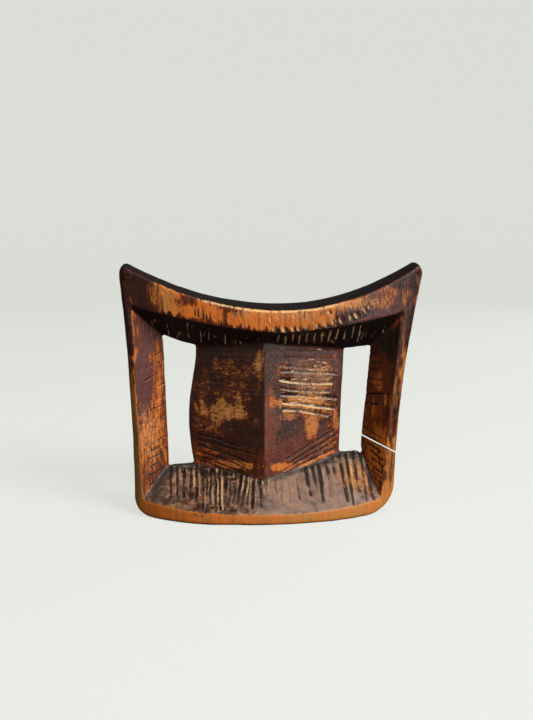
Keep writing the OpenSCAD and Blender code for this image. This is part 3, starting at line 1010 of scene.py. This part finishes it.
def member_piece(name, points, normals, faces, finish_and_light):
    """A closed mesh of one member, shaded as part of the whole block."""
    caps = [f for loop in boundary_loops(faces) if len(loop) > 2 for f in cap(points, loop)]
    both = np.vstack([faces, np.array(caps)]) if caps else faces
    used, numbered = np.unique(both, return_inverse=True)
    numbered = numbered.reshape(-1, 3)
    mesh = bpy.data.meshes.new(name)
    mesh.vertices.add(len(used))
    mesh.vertices.foreach_set("co", (points[used] * MM).ravel())
    mesh.loops.add(numbered.size)
    mesh.loops.foreach_set("vertex_index", numbered.ravel())
    mesh.polygons.add(len(numbered))
    mesh.polygons.foreach_set("loop_start", np.arange(0, numbered.size, 3))
    mesh.update(calc_edges=True)
    for field in FIELDS:
        attribute = mesh.attributes.new(field, "FLOAT", "POINT")
        attribute.data.foreach_set("value", getattr(finish_and_light, field)[used].astype(np.float32))
    corner_normals = normals[both.ravel()]
    first_cap = len(faces)
    for k in range(first_cap, len(both)):
        a, b, c = points[both[k]]
        flat = np.cross(b - a, c - a)
        corner_normals[3 * k : 3 * k + 3] = flat / max(np.linalg.norm(flat), 1e-9)
    mesh.shade_smooth()
    mesh.normals_split_custom_set(corner_normals.tolist())
    return add_object(name, mesh)


# ---- materials


def linear(red, green, blue):
    """A linear colour from its everyday 0 to 255 values."""
    parts = [c / 255 for c in (red, green, blue)]
    return [c / 12.92 if c <= 0.04045 else ((c + 0.055) / 1.055) ** 2.4 for c in parts] + [1]


class Shader:
    """Short ways to build one material's nodes."""

    def __init__(self, name):
        self.material = bpy.data.materials.new(name)
        self.material.use_nodes = True
        self.tree = self.material.node_tree
        self.surface = self.tree.nodes["Principled BSDF"]
        self.place = self.tree.nodes.new("ShaderNodeTexCoord").outputs["Object"]

    def put(self, socket, value):
        if isinstance(value, bpy.types.NodeSocket):
            self.tree.links.new(value, socket)
        else:
            socket.default_value = value

    def field(self, name):
        node = self.tree.nodes.new("ShaderNodeAttribute")
        node.attribute_name = name
        return node.outputs["Fac"]

    def noise(self, size, detail, roughness):
        """Noise whose grains are about size millimetres, one size for each axis."""
        stretch = self.tree.nodes.new("ShaderNodeMapping")
        stretch.inputs["Scale"].default_value = [1 / (s * MM) for s in size]
        self.put(stretch.inputs["Vector"], self.place)
        node = self.tree.nodes.new("ShaderNodeTexNoise")
        node.inputs["Scale"].default_value = 1.0
        node.inputs["Detail"].default_value = detail
        node.inputs["Roughness"].default_value = roughness
        self.put(node.inputs["Vector"], stretch.outputs["Vector"])
        return node.outputs["Fac"]

    def math(self, kind, a, b):
        node = self.tree.nodes.new("ShaderNodeMath")
        node.operation = kind
        self.put(node.inputs[0], a)
        self.put(node.inputs[1], b)
        return node.outputs[0]

    def times(self, a, b):
        return self.math("MULTIPLY", a, b)

    def step(self, value, low, high, start=0.0, end=1.0):
        node = self.tree.nodes.new("ShaderNodeMapRange")
        node.interpolation_type = "SMOOTHSTEP"
        for socket, number in zip(node.inputs[1:5], (low, high, start, end)):
            socket.default_value = number
        self.put(node.inputs["Value"], value)
        return node.outputs["Result"]

    def add_share(self, value, extra, share):
        """value + (extra - 0.5) * share"""
        return self.math("ADD", value, self.times(self.math("SUBTRACT", extra, 0.5), share))

    def mix(self, share, a, b):
        node = self.tree.nodes.new("ShaderNodeMix")
        node.data_type = "RGBA"
        self.put(node.inputs["Factor"], share)
        self.put(node.inputs["A"], a)
        self.put(node.inputs["B"], b)
        return node.outputs["Result"]

    def bump(self, height, depth):
        node = self.tree.nodes.new("ShaderNodeBump")
        node.inputs["Strength"].default_value = 1.0
        node.inputs["Distance"].default_value = depth * MM
        self.put(node.inputs["Height"], height)
        return node.outputs["Normal"]


def bare_colour(s, warm, streak, fibre, grain):
    """Tan to orange wood with darker grain."""
    bare = s.mix(s.step(warm, 0.1, 0.9), linear(*TAN), linear(*ORANGE))
    bare = s.mix(s.step(streak, 0.45, 0.7, 0, grain), bare, linear(*DEEP))
    return s.mix(s.step(fibre, 0.5, 0.68, 0, grain), bare, linear(*DEEP))


def patina_and_sheen_colour(s, warm, streak, mottle):
    """Near-black to red-brown patina, with a painted violet sheen in places."""
    reddish = s.step(s.add_share(warm, streak, 1.2), 0.35, 1.0)
    coat = s.mix(reddish, linear(*PATINA), linear(*RED_PATINA))
    # The violet cast is a painted sheen.
    violet_sheen = s.step(s.add_share(s.field("violet_sheen"), mottle, 0.9), 0.3, 0.95)
    return s.mix(s.times(violet_sheen, 0.85), coat, linear(*VIOLET_SHEEN))


def wear_level(s, dash, speck, mottle):
    """How worn the patina is, broken up into dashes, specks and blotches."""
    wear = s.add_share(s.field("wear"), speck, 0.6)
    wear = s.add_share(wear, s.noise(dash, 4, 0.6), 1.1)
    return s.add_share(wear, mottle, 0.5)


def rub_in_lines_and_highlights(s, colour, dust_and_sheen, speck, fibre, mottle):
    """Dark lines in the cuts, and pale crests beside them, partly pale wood and partly painted
    highlights, that dust dulls.
    """
    line = s.step(s.add_share(s.add_share(s.field("line"), speck, 0.35), mottle, 0.35), 0.26, 0.62)
    colour = s.mix(s.times(line, 0.9), colour, linear(*GRIME_AND_SHADE))
    pale = s.step(s.add_share(s.add_share(s.field("pale"), speck, 1.0), fibre, 0.5), 0.3, 0.8)
    pale = s.times(pale, s.math("SUBTRACT", 1.0, s.times(dust_and_sheen, 0.5)))
    return s.mix(s.times(pale, 0.75), colour, linear(*PALE_AND_HIGHLIGHT))


def relief(s, fibre, speck, mottle):
    """Fine bumps that the mesh is too coarse for."""
    height = s.math("ADD", s.times(fibre, 0.3), s.times(speck, 0.2))
    return s.bump(s.math("ADD", height, mottle), 0.4)


def worn_and_lit_wood(name, roughness, shine, grime_and_shade_colour, dash, grain):
    """Dark patina over bare wood, with painted shade, sheen and highlights, steered by the fields
    that the surface carries.
    """
    s = Shader(name)
    fibre = s.noise((0.55, 0.55, 9), 5, 0.6)
    streak = s.noise((2.0, 2.0, 38), 4, 0.6)
    mottle = s.noise((3.0, 3.0, 4.2), 6, 0.65)
    speck = s.noise((0.8, 0.8, 0.8), 4, 0.6)

    warm = s.add_share(s.field("warm"), mottle, 1.0)
    wear = wear_level(s, dash, speck, mottle)
    worn = s.step(wear, 0.42, 0.82)
    coat = patina_and_sheen_colour(s, warm, streak, mottle)
    thin = s.mix(0.55, coat, linear(*RED_PATINA))
    colour = s.mix(s.step(wear, 0.2, 0.5), coat, thin)
    colour = s.mix(worn, colour, bare_colour(s, warm, streak, fibre, grain))

    dust_and_sheen = s.step(s.add_share(s.field("dust_and_sheen"), mottle, 1.1), 0.2, 0.95)
    colour = s.mix(s.times(dust_and_sheen, 0.8), colour, linear(*DUST_AND_SHEEN))
    grime = s.add_share(s.add_share(s.field("grime"), speck, 0.5), fibre, 0.4)
    grime = s.step(grime, 0.18, 0.85)
    colour = s.mix(s.times(grime, 0.93), colour, linear(*grime_and_shade_colour))
    colour = rub_in_lines_and_highlights(s, colour, dust_and_sheen, speck, fibre, mottle)

    rough = s.math("ADD", s.times(worn, 0.14), roughness)
    rough = s.math("MAXIMUM", rough, s.times(dust_and_sheen, 0.6))
    rough = s.math("MAXIMUM", rough, s.times(grime, 0.5))
    s.put(s.surface.inputs["Base Color"], colour)
    s.put(s.surface.inputs["Roughness"], s.add_share(rough, speck, 0.3))
    s.put(s.surface.inputs["Specular IOR Level"], shine)
    s.put(s.surface.inputs["Normal"], relief(s, fibre, speck, mottle))
    return s.material


# ---- floor, light and camera


def bowl_mesh():
    """A round floor, sizes in metres, that curves up into a wall on every side."""
    flat, bend, rise, sides, steps = 2.0, 0.8, 2.6, 96, 16
    profile = [(0.001, 0.0), (flat, 0.0)]
    for k in range(1, steps + 1):
        angle = np.pi / 2 * k / steps
        profile.append((flat + bend * np.sin(angle), bend * (1 - np.cos(angle))))
    profile.append((flat + bend, rise))
    around = np.linspace(0, 2 * np.pi, sides, endpoint=False)
    points = [(r * np.cos(a), r * np.sin(a), z) for r, z in profile for a in around]
    faces = []
    for ring in range(len(profile) - 1):
        for k in range(sides):
            low, following = ring * sides, (k + 1) % sides
            faces.append((low + k, low + following, low + sides + following, low + sides + k))
    mesh = bpy.data.meshes.new("floor")
    mesh.from_pydata(points, [], faces)
    mesh.shade_smooth()
    return mesh


def stage_floor():
    """The pale floor, evenly lit by a glow of its own that the wood neither shows nor catches."""
    floor = add_object("floor", bowl_mesh())
    s = Shader("pale_sheet")
    looks = {
        "Base Color": (0.15, 0.15, 0.15, 1),
        "Roughness": 1.0,
        "Specular IOR Level": 0.0,
        "Emission Color": linear(*FLOOR),
        "Emission Strength": 0.8,
    }
    for name, value in looks.items():
        s.surface.inputs[name].default_value = value
    floor.visible_glossy = False
    floor.visible_diffuse = False
    floor.data.materials.append(s.material)


def soft_light(name, at, aim_height, size, power, colour):
    light = bpy.data.lights.new(name, "AREA")
    light.shape = "RECTANGLE"
    light.size, light.size_y = size
    light.energy = power
    light.color = colour
    lamp = add_object(name, light)
    lamp.location = at
    ahead = Vector((0, 0, aim_height)) - Vector(at)
    lamp.rotation_euler = ahead.to_track_quat("-Z", "Y").to_euler()


def light_the_stage():
    world = bpy.data.worlds.new("studio")
    bpy.context.scene.world = world
    world.use_nodes = True
    sky = world.node_tree.nodes["Background"]
    sky.inputs["Color"].default_value = DAYLIGHT
    sky.inputs["Strength"].default_value = DAYLIGHT_STRENGTH
    for name, looks in LIGHTS.items():
        soft_light(name, *looks)


def place_camera():
    """The photograph's viewpoint: a little left of the middle and just above the horns."""
    turn, rise = np.radians(CAMERA_TURN), np.radians(CAMERA_RISE)
    back = Vector((np.sin(turn) * np.cos(rise), -np.cos(turn) * np.cos(rise), np.sin(rise)))
    camera = bpy.data.cameras.new("camera")
    camera.lens = CAMERA_LENS
    camera.sensor_width = SENSOR_WIDTH
    camera.clip_start = 0.01
    holder = add_object("camera", camera)
    holder.location = (Vector(CAMERA_AIM) + back * CAMERA_DISTANCE) * MM
    holder.rotation_euler = back.to_track_quat("Z", "Y").to_euler()
    bpy.context.scene.camera = holder
    bpy.context.scene.view_settings.view_transform = "Standard"


# ---- put together


def weathered_block():
    """The whole block's surface, its finish with the painted shade, sheen and highlights, and the
    member that owns each triangle.
    """
    solids = [solid(name) for name in MEMBERS]
    gap_points = crack_faces(solids)
    surface = Surface(*block_mesh(solids, gap_points))
    surface.points = surface.smoothed(surface.points, EDGE_ROUNDS)
    member = nearest_members(surface.points, solids)
    soften_corners(surface, member)
    weights = {k: surface.smoothed((member == k).astype(float), 2) for k in range(len(MEMBERS))}
    normals = surface.normals()
    finish_and_light = FinishAndLight(surface.points)
    patches = face_patches(surface.points, surface.smoothed(normals, 2), weights)
    tool_marks(finish_and_light, patches, surface.points)
    for work in (weather_and_light_saddle, weather_and_light_column, weather_and_light_posts, weather_and_light_base):
        work(finish_and_light, patches)
    resting = surface.points[:, 2] < RESTING_BAND
    finish_and_light.depth[resting] = np.minimum(finish_and_light.depth[resting], 0)
    surface.points = surface.points + normals * finish_and_light.depth[:, None]
    shade_creases(finish_and_light, surface, surface.normals())
    owner, crack = cut_members(surface, member, solids, gap_points)
    return surface, finish_and_light, owner, crack


def open_crack(points, faces, crack, sign):
    """Moves one side of the crack back by half the gap, fading out along the post."""
    height, normal, half_gap = crack
    moved = points.copy()
    chosen = np.unique(faces)
    fade = np.clip(1 - np.abs(height[chosen]) / CRACK_FADE, 0, 1)
    moved[chosen] += sign * half_gap * fade[:, None] * normal
    return moved


def build_members():
    surface, finish_and_light, owner, crack = weathered_block()
    normals = surface.normals()
    woods = {slot: worn_and_lit_wood(slot, *looks) for slot, looks in WOODS.items()}
    for k, name in enumerate(MEMBERS):
        faces = surface.triangles[owner == k]
        points = surface.points
        if k in (RIGHT_UPPER, RIGHT_LOWER):
            points = open_crack(points, faces, crack, 1 if k == RIGHT_UPPER else -1)
        piece = member_piece(name + "_carved", points, normals, faces, finish_and_light)
        piece.data.materials.append(woods[SLOTS[name]])
        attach(piece, "root")
        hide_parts(name)


stage_floor()
light_the_stage()
place_camera()
build_members()
